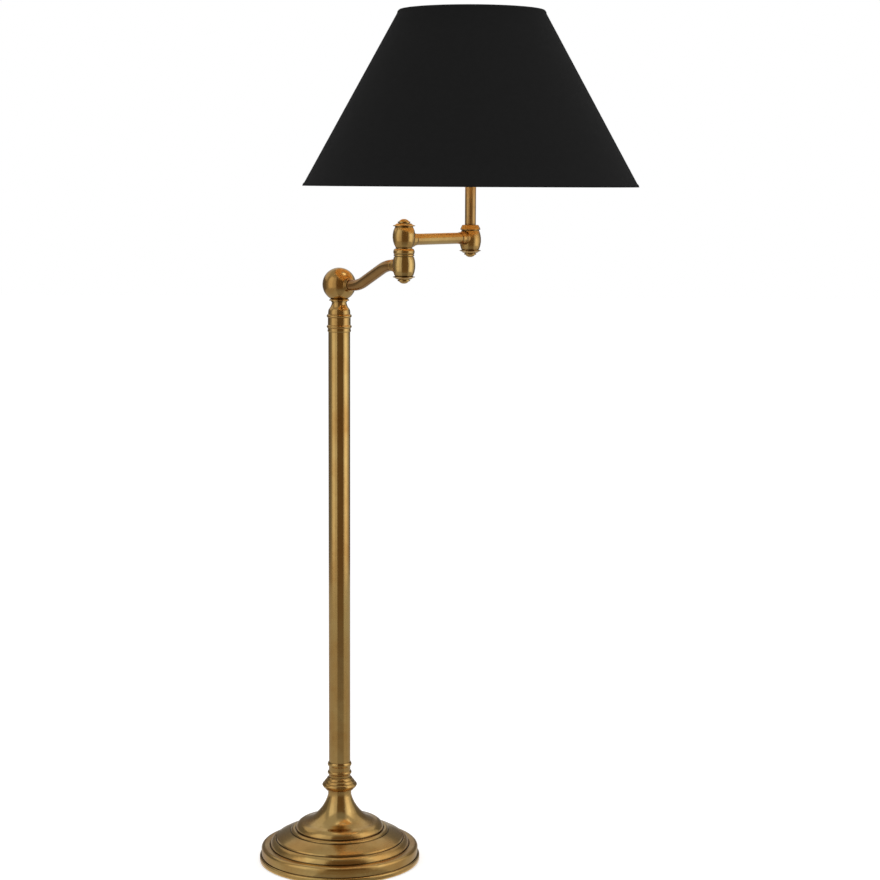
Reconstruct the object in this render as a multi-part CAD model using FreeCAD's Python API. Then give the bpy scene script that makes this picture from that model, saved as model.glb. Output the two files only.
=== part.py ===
import FreeCAD, Part
import math
import os

from FreeCAD import Vector

# Swing arm floor lamp, in millimetres
# The origin is the centre of the foot's underside, on the pole's axis, and Z points up.
# X is to the right and Y away from a person who faces the lamp.

# Clearances
running_gap = 0.05      # radial gap of a turning or threaded shaft in its bore
socket_gap = 0.05       # radial gap of a tube or spigot in its socket
loose_gap = 0.3         # gap between neighbours that are only near each other

# Round stretches are cut into flats, which leave the true curve by no more than this
curve_error = 0.12
ball_curve_error = 0.06
hidden_curve_error = 0.3

# Foot, from the floor up
felt_thickness = 2.0
felt_radius = 114.3
rim_lift = 1.0          # the metal rim stays this much above the floor
sheet = 1.5             # wall of the spun foot
foot_radius = 120.3
lip_overhang = 2.8
lip_height = 7.6
lip_edge = 2.0
lip_bulge = 0.6
band_height = 11.0
shoulder_radius = 112.0
shoulder_height = 4.0
shoulder_bulge = 1.4
gutter_width = 7.5
roll_width = 6.0
roll_height = 9.4
roll_bulge = 1.3
roll_ledge = 2.9        # level stretch between the roll and the step
step_width = 1.0
step_height = 3.0
slope_inner_radius = 73.4
slope_height = 9.1
slope_bulge = 0.8
fillet_wall = 1.0
fillet_width = 5.4
fillet_height = 2.3
fillet_bulge = 1.1
dome_base_height = 2.1
dome_radius = 65.8
dome_edge = 13.0        # width of the dome's rounded edge
dome_edge_height = 9.4
dome_bulge = 2.6
dome_top_radius = 41.5
dome_top_height = 4.9
trumpet_height = 35.2
trumpet_bulge = 3.7
foot_neck_radius = 17.4
foot_neck_height = 8.0      # of the upright stretch at the trumpet's top
score_radius = 1.0          # of the round grooves that set off the rings of the foot

# Weight, tie rod and cord inlet
weight_height = 15.0
weight_seat_width = 8.0     # of the rim that carries the cover
weight_seat_edge = 1.0
weight_boss_radius = 62.0
weight_boss_height = 12.0
nut_pocket_radius = 14.0
nut_pocket_depth = 10.0
rod_radius = 5.0
rod_bore = 3.2
rod_end = 1.0           # how far the tie rod's foot stays above the felt
nut_half_flat = 8.5
nut_height = 6.0
washer_radius = 12.0
washer_height = 1.5
cord_height = 13.5
cord_bore = 3.6
bush_radius = 4.2
bush_flange = 4.8
bush_flange_thickness = 1.4
cord_channel_width = 16.0

# Turned knop and lower ferrule
knop_height = 19.3
knop_radius = 26.0
knop_foot_radius = 20.4
knop_foot_height = 0.8
knop_belly_height = 7.0
knop_belly_bulge = 0.7
knop_neck_radius = 16.5
knop_ring_count = 3
knop_ring_ledge = 0.7
knop_ring_wall = 0.8
knop_ring_bulge = 0.3
ferrule_height = 23.0
ferrule_radius = 16.1
bead_proud = 1.9
bead_height = 6.0
lower_bead_height = 4.0     # from the ferrule's foot to its first bead
bead_pitch = 12.6
socket_wall = 0.7
tube_seat_depth = 5.0

# Pole
pole_radius = 16.0
pole_wall = 1.5
pole_length = 656.5

# Upper ferrule and swivel neck
upper_ferrule_height = 25.6
upper_ferrule_radius = 16.7
skirt_depth = 5.3
skirt_radius = 17.3
skirt_edge = 1.0
skirt_hollow = 0.2
upper_bead_height = 4.6
upper_bead_proud = 1.7
upper_bead_pitch = 15.4
neck_height = 19.5
neck_shoulder_radius = 16.2
neck_shoulder_height = 7.5
neck_shoulder_bulge = 0.5
neck_hollow = 0.9           # depth of the hollow curve between shoulder and waist
neck_slope_radius = 15.2
neck_waist_radius = 10.6
neck_waist_height = 0.5
neck_lip_radius = 12.0
neck_lip_height = 1.4
spigot_radius = 13.0
spigot_length = 4.0
chamber_radius = 11.0
chamber_ceiling = 13.0      # metal above the chamber for the swivel nut
swivel_washer_radius = 10.4
slip_washer_radius = 10.8
slip_washer_height = 0.5
seat_ring_radius = 14.8
seat_ring_height = 2.4
seat_ring_edge = 0.5
seat_ring_slope = 1.4       # how far the ring narrows towards the ball

# Ball and lower arm
ball_radius = 24.4
ball_flat = 3.2             # how much of the ball is cut away where it sits
spindle_grip = 12.0         # how far the swivel spindle goes into the ball
spindle_nut_end = 1.5       # how far the spindle stands out of its nut
ball_collar_seat = 21.3     # from the ball's centre to the collar's back
ball_collar_radius = 9.9
ball_collar_ring = 2.2
ball_collar_step = 0.5
ball_collar_bulge = 0.3
ball_collar_rings = 3
arm_radius = 8.0
arm_wall = 1.5
arm_length = 150.0          # from one pivot to the next, on both arms
arm_grip = 10.0             # how far the lower arm goes into the ball, under the collar
lower_arm_azimuth = -50.0
upper_arm_azimuth = 51.0
bend_angle = 26.0
bend_radius = 60.0
bend_start = 32.5           # from the ball's centre to the first bend
elbow_rise = 31.9           # from the ball's centre up to the lower arm's far end

# Elbow, from the bottom up
barrel_radius = 16.0
lower_barrel_foot = 13.4        # radius of the lower barrel's lower end
lower_barrel_head = 14.0
lower_barrel_height = 26.2
lower_tube_height = 13.2    # from the lower barrel's bottom to the arm's axis
boss_root_radius = 10.9
boss_root_reach = 16.4
boss_margin = 0.3           # from the boss's root to the barrel's nearer end
boss_ring_count = 3
boss_ring_width = 1.3
boss_ring_bulge = 0.2
boss_ring_share = 0.22      # the step from ring to ring, as a share of the boss's width
boss_end_radius = 8.5
boss_hollow_share = 0.2     # how deep the boss's flare is hollowed, as a share of its width
boss_reach = 25.5
socket_reach = 15.0         # from a pivot axis to the bottom of a tube's socket
cap_root_radius = 12.5
cap_root_height = 0.8
cap_radius = 15.6
cap_edge_height = 1.9
cap_edge = 0.6
cap_hollow = 0.5
cap_height = 5.4
cap_tip_radius = 10.2
finial_groove_radius = 7.8
finial_groove = 0.7         # height of the groove between cap and finial
finial_radius = 8.6
finial_band = 2.6           # height of the groove and the ring over it
finial_band_bulge = 0.3
finial_dome_radius = 7.2
finial_height = 6.2
finial_bulge = 1.1
finial_bore_depth = 3.0
bead_ring_root = 12.8
bead_ring_root_height = 0.8
bead_ring_foot = 14.2
bead_ring_foot_height = 2.4
bead_ring_foot_bulge = 0.4
bead_ring_crease = 0.5
bead_ring_radius = 14.2
bead_ring_bulge = 1.3
bead_ring_height = 11.0
bead_ring_edge = 13.2
elbow_washer_radius = 10.8
elbow_washer_height = 0.6
upper_foot_radius = 12.1
upper_foot_height = 0.8
upper_waist_radius = 11.4
upper_barrel_head = 12.9        # radius of the upper barrel's upper end
upper_barrel_height = 28.6
upper_tube_height = 12.0    # from the upper barrel's foot to the arm's axis

# End hub and stem
hub_height = 26.7
hub_radius = 15.7
hub_end_radius = 13.1
hub_tube_height = 16.4
hub_collar_height = 8.4
hub_collar_root = 12.7
hub_collar_root_height = 0.9
hub_collar_radius = 14.7
hub_collar_edge_height = 2.3
hub_collar_edge = 0.5
hub_collar_shoulder = 12.4
hub_collar_shoulder_drop = 1.2
hub_collar_top_radius = 11.3
hub_collar_bulge = 0.3
hub_collar_web = 2.5
stem_length = 92.0

# Lampholder, from the stem up
holder_wall = 1.2
holder_radius = 20.0
holder_neck_radius = 9.0
holder_neck_height = 3.0
holder_cap_height = 18.0
holder_cap_side = 4.0
holder_cap_bulge = 3.0
holder_web = 3.0
holder_shell_height = 34.0
ledge_height = 12.0
ledge_width = 2.5
ledge_thickness = 2.0
core_foot_height = 7.0
core_foot_slope = 4.0
core_foot_inset = 3.0
core_radius = 16.0
core_flange_height = 4.0
core_flange_lap = 0.6       # how far the flange reaches over the cap's rim
core_rise = 12.0
core_recess_radius = 11.0
core_recess_depth = 7.0
screw_bore = 13.3
screw_wall = 0.6
screw_height = 20.0
contact_width = 5.0
contact_foot = 9.0
contact_rise = 6.0
contact_sheet = 0.8
ring_nut_radius = 24.5
ring_nut_height = 5.5
ring_nut_edge = 0.8

# Switch bar, pushed from side to side through the lampholder
switch_height = 11.0        # above the lampholder's foot
switch_bar_radius = 1.8
switch_gap = 0.08
switch_knob_radius = 3.2
switch_knob_length = 5.0
switch_knob_edge = 0.8
switch_knob_gap = 0.6
switch_travel = 6.0

# Shade
shade_bottom = 1008.3
shade_height = 251.3
shade_bottom_radius = 244.6
shade_top_radius = 105.5
cover_thickness = 0.8
lining_gap = 0.3
lining_thickness = 0.5
hem_height = 5.0
hem_proud = 0.8
wire_radius = 1.6
wire_inset = 2.2            # height of a ring wire's centre inside its rim
spoke_count = 3
spoke_radius = 1.5
spoke_azimuth = 90.0
carrier_width = 6.7
carrier_thickness = 2.0

# Radii of the foot's rings
band_radius = foot_radius - lip_overhang
gutter_radius = shoulder_radius - gutter_width
step_radius = gutter_radius - roll_width - roll_ledge

# Heights of the stack, from the floor up
lip_top = rim_lift + lip_height
band_top = lip_top + band_height
shoulder_top = band_top + shoulder_height
roll_top = shoulder_top + roll_height
slope_bottom = roll_top + step_height
slope_top = slope_bottom + slope_height
fillet_bottom = slope_top + fillet_wall
fillet_top = fillet_bottom + fillet_height
dome_base_top = fillet_top + dome_base_height
dome_edge_top = dome_base_top + dome_edge_height
dome_top = dome_edge_top + dome_top_height
trumpet_top = dome_top + trumpet_height
foot_top = trumpet_top + foot_neck_height
weight_top = felt_thickness + weight_height
pocket_roof = felt_thickness + nut_pocket_depth
cover_seat = shoulder_top - sheet
knop_top = foot_top + knop_height
ferrule_top = knop_top + ferrule_height
pole_bottom = ferrule_top - tube_seat_depth
pole_top = pole_bottom + pole_length
upper_ferrule_bottom = pole_top - skirt_depth
upper_ferrule_top = upper_ferrule_bottom + upper_ferrule_height
spigot_bottom = upper_ferrule_top - spigot_length
rod_top = spigot_bottom - loose_gap
neck_top = upper_ferrule_top + neck_height
chamber_roof = neck_top - chamber_ceiling
seat_ring_bottom = neck_top + slip_washer_height
seat_ring_top = seat_ring_bottom + seat_ring_height
ball_height = seat_ring_top + ball_radius - ball_flat
lower_arm_end = ball_height + elbow_rise
lower_barrel_bottom = lower_arm_end - lower_tube_height
lower_barrel_top = lower_barrel_bottom + lower_barrel_height
bead_ring_top = lower_barrel_top + bead_ring_height
upper_barrel_bottom = bead_ring_top + elbow_washer_height
upper_barrel_top = upper_barrel_bottom + upper_foot_height + upper_barrel_height
upper_arm_height = upper_barrel_bottom + upper_tube_height
hub_bottom = upper_arm_height - hub_tube_height
hub_top = hub_bottom + hub_height
stem_bottom = hub_top + hub_collar_web
stem_top = stem_bottom + stem_length
holder_cap_top = stem_top + holder_cap_height
holder_top = holder_cap_top + holder_shell_height
ledge_top = holder_cap_top + ledge_height + ledge_thickness
carrier_top = ledge_top + carrier_thickness
core_top = holder_cap_top + core_rise
recess_floor = core_top - core_recess_depth
shade_top = shade_bottom + shade_height
rod_hole = rod_radius + running_gap
tube_socket = arm_radius + socket_gap
carrier_radius = holder_radius + loose_gap + carrier_width


def along(azimuth, distance, height, start=(0.0, 0.0)):
    """The point at a distance from a vertical axis, towards an azimuth in degrees."""
    turn = math.radians(azimuth)
    return Vector(start[0] + distance * math.cos(turn), start[1] + distance * math.sin(turn), height)


up = Vector(0, 0, 1)
pole = (0.0, 0.0)
elbow = tuple(along(lower_arm_azimuth, arm_length, 0.0))[:2]
hub = tuple(along(upper_arm_azimuth, arm_length, 0.0, elbow))[:2]


# Shaping helpers
# A corner is (radius, height), or (radius, height, bulge) where the stretch that ends there is an arc.
# The bulge is how far the arc stands out of its chord. It is negative for a hollow.

def flats_along(start, end, error):
    """The points of the stretch between two corners of an outline that runs up its outer side."""
    if len(end) == 2:
        return [end]
    width = end[0] - start[0]
    height = end[1] - start[1]
    chord = math.hypot(width, height)
    bulge = end[2]
    share = bulge / chord
    middle = Vector((start[0] + end[0]) / 2 + height * share, 0, (start[1] + end[1]) / 2 - width * share)
    arc = Part.Arc(Vector(start[0], 0, start[1]), middle, Vector(end[0], 0, end[1]))
    arc_radius = chord ** 2 / (8 * abs(bulge)) + abs(bulge) / 2
    half_turn = 2 * math.atan(2 * abs(share))
    flats = math.ceil(half_turn / math.acos(1 - error / arc_radius))
    return [(point.x, point.z) for point in arc.discretize(flats + 1)[1:]]


def turned(outline, axis=pole, error=curve_error):
    """A solid turned about a vertical axis from a closed outline of corners."""
    points = []
    for start, end in zip(outline[-1:] + outline[:-1], outline):
        points += flats_along(start, end, error)
    corners = [Vector(axis[0] + radius, axis[1], height) for radius, height in points]
    face = Part.Face(Part.makePolygon(corners + corners[:1]))
    return face.revolve(Vector(axis[0], axis[1], 0), up, 360)


def turned_across(outline, azimuth, height, axis):
    """A solid turned about a level axis that starts at a vertical one. Its corners are (radius, reach)."""
    solid = turned(outline)
    solid.rotate(Vector(0, 0, 0), Vector(0, 1, 0), 90)
    solid.rotate(Vector(0, 0, 0), up, azimuth)
    solid.translate(Vector(axis[0], axis[1], height))
    return solid


def seated(outline, seat, axis, upside_down=False):
    """A turned solid whose outline starts at height 0, put on a seat or, upside down, under it."""
    solid = turned(outline)
    if upside_down:
        solid = solid.mirror(Vector(0, 0, 0), up)
    solid.translate(Vector(axis[0], axis[1], seat))
    return solid


def upright_rod(radius, bottom, top, axis=pole):
    return Part.makeCylinder(radius, top - bottom, Vector(axis[0], axis[1], bottom))


def level_rod(radius, start, end, azimuth, height, axis=pole):
    foot = along(azimuth, start, height, axis)
    return Part.makeCylinder(radius, end - start, foot, along(azimuth, 1.0, 0.0))


def ring(radius, bore, bottom, top, axis=pole):
    """A plain tube or washer on a vertical axis."""
    return upright_rod(radius, bottom, top, axis).cut(upright_rod(bore, bottom, top, axis))


def hexagon_nut(bottom, top, axis=pole):
    corner = nut_half_flat / math.cos(math.radians(30))
    corners = [along(60 * side, corner, bottom, axis) for side in range(6)]
    blank = Part.Face(Part.makePolygon(corners + corners[:1])).extrude(Vector(0, 0, top - bottom))
    return blank.cut(upright_rod(rod_hole, bottom, top, axis))


# Foot

def foot_skin(inset, error):
    """The foot above its lip as a full solid, or the hollow in it with the wall as inset."""
    outline = [
        (0, rim_lift),
        (band_radius, rim_lift),
        (band_radius, band_top),
        (shoulder_radius, shoulder_top, shoulder_bulge),
        (gutter_radius, shoulder_top),
        (gutter_radius - roll_width, roll_top, roll_bulge),
        (step_radius, roll_top),
        (step_radius - step_width, slope_bottom),
        (slope_inner_radius, slope_top, slope_bulge),
        (slope_inner_radius, fillet_bottom),
        (slope_inner_radius - fillet_width, fillet_top, fillet_bulge),
        (dome_radius, fillet_top),
        (dome_radius, dome_base_top),
        (dome_radius - dome_edge, dome_edge_top, dome_bulge),
        (dome_top_radius, dome_top),
        (foot_neck_radius, trumpet_top, -trumpet_bulge),
        (foot_neck_radius, foot_top),
        (0, foot_top),
    ]
    inner = [(max(corner[0] - inset, 0), max(corner[1] - inset, rim_lift), *corner[2:]) for corner in outline]
    return turned(inner, pole, error)


def scored(radius, height):
    """A round groove in the corner between two rings of the foot."""
    return turned([(radius, height - score_radius, score_radius), (radius, height + score_radius, score_radius)])


def make_base_cover():
    """The spun foot. Its rings are set off by scored grooves, and its lip is a low rounded ledge."""
    lip = turned([
        (0, rim_lift),
        (foot_radius, rim_lift),
        (foot_radius, lip_top - lip_edge),
        (foot_radius - lip_edge, lip_top, lip_bulge),
        (0, lip_top),
    ])
    cover = foot_skin(0, curve_error).fuse(lip).cut(foot_skin(sheet, hidden_curve_error))
    corners = [
        (band_radius, lip_top),
        (gutter_radius, shoulder_top),
        (step_radius, roll_top),
        (slope_inner_radius, slope_top),
        (dome_radius, fillet_top),
    ]
    for radius, height in corners:
        cover = cover.cut(scored(radius, height))
    cover = cover.cut(upright_rod(rod_hole, dome_top, foot_top))
    return cover.cut(level_rod(bush_radius + socket_gap, 0, foot_radius, 90, cord_height))


def make_base_weight():
    """A stepped cast weight. Its rim carries the foot, and a channel leads the cord to the middle."""
    radius = band_radius - sheet - loose_gap
    boss_top = weight_top + weight_boss_height
    seat_radius = shoulder_radius - sheet - weight_seat_edge
    seat_inner = seat_radius - weight_seat_width
    weight = turned([
        (rod_hole, pocket_roof),
        (nut_pocket_radius, pocket_roof),
        (nut_pocket_radius, felt_thickness),
        (radius, felt_thickness),
        (radius, weight_top),
        (seat_radius, weight_top),
        (seat_radius, cover_seat),
        (seat_inner, cover_seat),
        (seat_inner, weight_top),
        (weight_boss_radius, weight_top),
        (weight_boss_radius, boss_top),
        (rod_hole, boss_top),
    ])
    channel_floor = cord_height - bush_flange - loose_gap
    channel = Part.makeBox(cord_channel_width, foot_radius, cover_seat - channel_floor,
                           Vector(-cord_channel_width / 2, nut_pocket_radius, channel_floor))
    return weight.cut(channel)


def make_cord_inlet_bush():
    """A bush that lines the cord's hole in the back of the foot, with a flange on each side of the wall."""
    outer_seat = band_radius + socket_gap
    inner_seat = outer_seat - sheet - 2 * socket_gap - loose_gap
    return turned_across([
        (cord_bore, inner_seat - bush_flange_thickness),
        (bush_flange, inner_seat - bush_flange_thickness),
        (bush_flange, inner_seat),
        (bush_radius, inner_seat),
        (bush_radius, outer_seat),
        (bush_flange, outer_seat),
        (bush_flange, outer_seat + bush_flange_thickness),
        (cord_bore, outer_seat + bush_flange_thickness),
    ], 90, cord_height, pole)


# Pole and its turned ends

def make_base_knop():
    """A knop with a round belly and stepped rings on its upper slope."""
    belly = foot_top + knop_belly_height
    outline = [
        (rod_hole, foot_top),
        (knop_foot_radius, foot_top),
        (knop_foot_radius, foot_top + knop_foot_height),
        (knop_radius, belly, knop_belly_bulge),
    ]
    slope_height = (knop_top - belly) / knop_ring_count
    slope_width = (knop_radius - knop_neck_radius) / knop_ring_count
    for step in range(knop_ring_count):
        radius = knop_radius - step * slope_width
        height = belly + step * slope_height
        inner = radius - slope_width
        outline += [
            (radius, height + knop_ring_wall),
            (inner + knop_ring_ledge, height + slope_height, knop_ring_bulge),
            (inner, height + slope_height),
        ]
    return turned(outline + [(rod_hole, knop_top)])


def make_lower_ferrule():
    """A ferrule with two beads. The upper one goes round the socket of the pole."""
    socket = pole_radius + socket_gap
    wall_radius = socket + socket_wall
    first = knop_top + lower_bead_height
    second = first + bead_pitch
    return turned([
        (rod_hole, knop_top),
        (ferrule_radius, knop_top),
        (ferrule_radius, first),
        (ferrule_radius, first + bead_height, bead_proud),
        (ferrule_radius, second),
        (wall_radius, second),
        (wall_radius, ferrule_top, ferrule_radius + bead_proud - wall_radius),
        (socket, ferrule_top),
        (socket, pole_bottom),
        (rod_hole, pole_bottom),
    ])


def make_upper_ferrule():
    """A ferrule with a skirt over the pole's end, two beads and a socket for the neck's spigot."""
    socket = pole_radius + socket_gap
    spigot_socket = spigot_radius + socket_gap
    first = upper_ferrule_bottom + skirt_depth
    second = first + upper_bead_pitch
    return turned([
        (socket, upper_ferrule_bottom),
        (socket + socket_wall, upper_ferrule_bottom),
        (skirt_radius, upper_ferrule_bottom + skirt_edge),
        (upper_ferrule_radius, first, -skirt_hollow),
        (upper_ferrule_radius, first + upper_bead_height, upper_bead_proud),
        (upper_ferrule_radius, second),
        (upper_ferrule_radius, upper_ferrule_top, upper_bead_proud),
        (spigot_socket, upper_ferrule_top),
        (spigot_socket, spigot_bottom),
        (rod_hole, spigot_bottom),
        (rod_hole, pole_top),
        (socket, pole_top),
    ])


def make_swivel_neck():
    """The neck under the ball. Its spigot screws into the ferrule, and the swivel nut turns in it."""
    shoulder = upper_ferrule_top + neck_shoulder_height
    lip = neck_top - neck_lip_height
    return turned([
        (chamber_radius, spigot_bottom),
        (spigot_radius, spigot_bottom),
        (spigot_radius, upper_ferrule_top),
        (neck_shoulder_radius, upper_ferrule_top),
        (neck_slope_radius, shoulder, neck_shoulder_bulge),
        (neck_waist_radius, lip - neck_waist_height, -neck_hollow),
        (neck_waist_radius, lip),
        (neck_lip_radius, lip),
        (neck_lip_radius, neck_top),
        (rod_hole, neck_top),
        (rod_hole, chamber_roof),
        (chamber_radius, chamber_roof),
    ])


# Ball and lower arm

def make_seat_ring():
    """A knife-edged ring that the ball sits on."""
    return turned([
        (rod_hole, seat_ring_bottom),
        (seat_ring_radius, seat_ring_bottom),
        (seat_ring_radius, seat_ring_bottom + seat_ring_edge),
        (seat_ring_radius - seat_ring_slope, seat_ring_top),
        (rod_hole, seat_ring_top),
    ])


def make_swivel_ball():
    """A ball with a flat seat, a hole for the spindle, a lead way and a spot-faced socket for the arm."""
    seat_latitude = math.asin((ball_radius - ball_flat) / ball_radius)
    lower_bulge = ball_radius * (1 - math.cos(seat_latitude / 2))
    upper_bulge = ball_radius * (1 - math.cos(math.radians(45)))
    ball = turned([
        (0, seat_ring_top),
        (ball_radius * math.cos(seat_latitude), seat_ring_top),
        (ball_radius, ball_height, lower_bulge),
        (0, ball_height + ball_radius, upper_bulge),
    ], pole, ball_curve_error)
    spindle_hole = upright_rod(rod_hole, seat_ring_top, seat_ring_top + spindle_grip)
    lead_rise = upright_rod(rod_bore, seat_ring_top, ball_height)
    lead_way = level_rod(rod_bore, 0, ball_radius, lower_arm_azimuth, ball_height)
    socket = level_rod(tube_socket, ball_collar_seat - arm_grip, ball_radius, lower_arm_azimuth, ball_height)
    face_radius = ball_collar_radius + ball_collar_bulge + socket_gap
    spot_face = level_rod(face_radius, ball_collar_seat, ball_radius, lower_arm_azimuth, ball_height)
    return ball.cut(spindle_hole).cut(lead_rise).cut(lead_way).cut(socket).cut(spot_face)


def make_ball_collar():
    """A collar of stepped rings round the arm, where it leaves the ball."""
    outline = [(tube_socket, ball_collar_seat)]
    for step in range(ball_collar_rings):
        radius = ball_collar_radius - step * ball_collar_step
        reach = ball_collar_seat + step * ball_collar_ring
        outline += [(radius, reach), (radius, reach + ball_collar_ring, ball_collar_bulge)]
    outline += [(tube_socket, outline[-1][1])]
    return turned_across(outline, lower_arm_azimuth, ball_height, pole)


def make_lower_arm_tube():
    """A tube bent twice into an S: level from the ball, up a slope and level again into the elbow."""
    bend = math.radians(bend_angle)
    bend_rise = bend_radius * (1 - math.cos(bend))
    bend_run = bend_radius * math.sin(bend)
    half_rise = bend_radius * (1 - math.cos(bend / 2))
    half_run = bend_radius * math.sin(bend / 2)
    slope_rise = elbow_rise - 2 * bend_rise
    slope_start = bend_start + bend_run
    slope_end = slope_start + slope_rise / math.tan(bend)
    bend_end = slope_end + bend_run

    def at(reach, rise):
        return along(lower_arm_azimuth, reach, ball_height + rise)

    start = at(ball_collar_seat - arm_grip, 0)
    path = Part.Wire([edge.toShape() for edge in (
        Part.LineSegment(start, at(bend_start, 0)),
        Part.Arc(at(bend_start, 0), at(bend_start + half_run, half_rise), at(slope_start, bend_rise)),
        Part.LineSegment(at(slope_start, bend_rise), at(slope_end, elbow_rise - bend_rise)),
        Part.Arc(at(slope_end, elbow_rise - bend_rise), at(bend_end - half_run, elbow_rise - half_rise),
                 at(bend_end, elbow_rise)),
        Part.LineSegment(at(bend_end, elbow_rise), at(arm_length - socket_reach, elbow_rise)),
    )])

    def swept(radius):
        section = Part.Wire(Part.makeCircle(radius, start, along(lower_arm_azimuth, 1.0, 0.0)))
        return path.makePipeShell([section], True, False)

    return swept(arm_radius).cut(swept(arm_radius - arm_wall))


# Elbow and end hub

def with_boss(barrel, azimuth, height, axis):
    """A turned barrel with a ringed and flared boss for a level tube, bored for tube, spindle and leads."""
    bottom = barrel.BoundBox.ZMin
    top = barrel.BoundBox.ZMax
    root_radius = min(boss_root_radius, height - bottom - boss_margin, top - height - boss_margin)
    width = root_radius - boss_end_radius
    outline = [(0, 0), (root_radius, 0), (root_radius, boss_root_reach)]
    for step in range(1, boss_ring_count + 1):
        radius = root_radius - step * width * boss_ring_share
        reach = outline[-1][1]
        outline += [(radius, reach), (radius, reach + boss_ring_width, boss_ring_bulge)]
    outline += [(boss_end_radius, boss_reach, -width * boss_hollow_share), (0, boss_reach)]
    boss = turned_across(outline, azimuth, height, axis)
    socket = level_rod(tube_socket, socket_reach, boss_reach, azimuth, height, axis)
    lead_way = level_rod(rod_bore, 0, socket_reach, azimuth, height, axis)
    spindle_hole = upright_rod(rod_hole, bottom, top, axis)
    return barrel.fuse(boss).cut(socket).cut(lead_way).cut(spindle_hole)


def make_lower_elbow_barrel():
    barrel = turned([
        (0, lower_barrel_bottom),
        (lower_barrel_foot, lower_barrel_bottom),
        (lower_barrel_head, lower_barrel_top, barrel_radius - (lower_barrel_foot + lower_barrel_head) / 2),
        (0, lower_barrel_top),
    ], elbow)
    return with_boss(barrel, lower_arm_azimuth + 180, lower_arm_end, elbow)


def make_upper_elbow_barrel():
    """A barrel that narrows to a waist on a thin foot."""
    waist = upper_barrel_bottom + upper_foot_height
    barrel = turned([
        (0, upper_barrel_bottom),
        (upper_foot_radius, upper_barrel_bottom),
        (upper_foot_radius, waist),
        (upper_waist_radius, waist),
        (upper_barrel_head, upper_barrel_top, barrel_radius - (upper_waist_radius + upper_barrel_head) / 2),
        (0, upper_barrel_top),
    ], elbow)
    return with_boss(barrel, upper_arm_azimuth, upper_arm_height, elbow)


def make_hub_barrel():
    barrel = turned([
        (0, hub_bottom),
        (hub_end_radius, hub_bottom),
        (hub_end_radius, hub_top, hub_radius - hub_end_radius),
        (0, hub_top),
    ], hub)
    return with_boss(barrel, upper_arm_azimuth + 180, upper_arm_height, hub)


def knife_cap(seat, axis, upside_down=False):
    """A knife-edged cap on a barrel's end."""
    return seated([
        (rod_hole, 0),
        (cap_root_radius, 0),
        (cap_root_radius, cap_root_height),
        (cap_radius, cap_edge_height),
        (cap_radius, cap_edge_height + cap_edge),
        (cap_tip_radius, cap_height, -cap_hollow),
        (rod_hole, cap_height),
    ], seat, axis, upside_down)


def finial(seat, axis, upside_down=False):
    """A small nut on the end of a spindle: a groove, a ring and a low dome."""
    return seated([
        (rod_hole, 0),
        (finial_groove_radius, 0),
        (finial_groove_radius, finial_groove),
        (finial_radius, finial_groove),
        (finial_radius, finial_band, finial_band_bulge),
        (finial_dome_radius, finial_band),
        (0, finial_height, finial_bulge),
        (0, finial_bore_depth),
        (rod_hole, finial_bore_depth),
    ], seat, axis, upside_down)


def make_bead_ring():
    """A ring between the barrels: a thin root, a low bead, a crease and a tall bead."""
    root_top = lower_barrel_top + bead_ring_root_height
    foot_bead_top = root_top + bead_ring_foot_height
    return turned([
        (rod_hole, lower_barrel_top),
        (bead_ring_root, lower_barrel_top),
        (bead_ring_root, root_top),
        (bead_ring_foot, root_top),
        (bead_ring_foot, foot_bead_top, bead_ring_foot_bulge),
        (bead_ring_root, foot_bead_top),
        (bead_ring_root, foot_bead_top + bead_ring_crease),
        (bead_ring_radius, foot_bead_top + bead_ring_crease),
        (bead_ring_edge, bead_ring_top, bead_ring_bulge),
        (rod_hole, bead_ring_top),
    ], elbow)


def make_hub_top_collar():
    """A cone-shaped collar with a knife edge and a round shoulder, and a socket for the stem."""
    top = hub_top + hub_collar_height
    edge_top = hub_top + hub_collar_edge_height
    return turned([
        (rod_hole, hub_top),
        (hub_collar_root, hub_top),
        (hub_collar_root, hub_top + hub_collar_root_height),
        (hub_collar_radius, edge_top - hub_collar_edge),
        (hub_collar_radius, edge_top),
        (hub_collar_shoulder, top - hub_collar_shoulder_drop),
        (hub_collar_top_radius, top, hub_collar_bulge),
        (tube_socket, top),
        (tube_socket, stem_bottom),
        (rod_hole, stem_bottom),
    ], hub)


# Lampholder

def switch_way():
    """The way of the switch bar through the lampholder, from side to side."""
    height = stem_top + switch_height
    return level_rod(switch_bar_radius + switch_gap, -2 * holder_radius, 2 * holder_radius, 0, height, hub)


def make_lampholder_cap():
    """A domed cap that screws onto the stem's rod, with a hole on each side for the switch bar."""
    neck = stem_top + holder_neck_height
    side_bottom = holder_cap_top - holder_cap_side
    inner_side = holder_radius - holder_wall
    outside = turned([
        (0, stem_top),
        (holder_neck_radius, stem_top),
        (holder_neck_radius, neck),
        (holder_radius, side_bottom, holder_cap_bulge),
        (holder_radius, holder_cap_top),
        (0, holder_cap_top),
    ], hub, hidden_curve_error)
    inside = turned([
        (0, neck + holder_wall),
        (holder_neck_radius - holder_wall, neck + holder_wall),
        (inner_side, side_bottom + holder_wall, holder_cap_bulge),
        (inner_side, holder_cap_top),
        (0, holder_cap_top),
    ], hub, hidden_curve_error)
    return outside.cut(inside).cut(upright_rod(rod_hole, stem_top, holder_cap_top, hub)).cut(switch_way())


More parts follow.
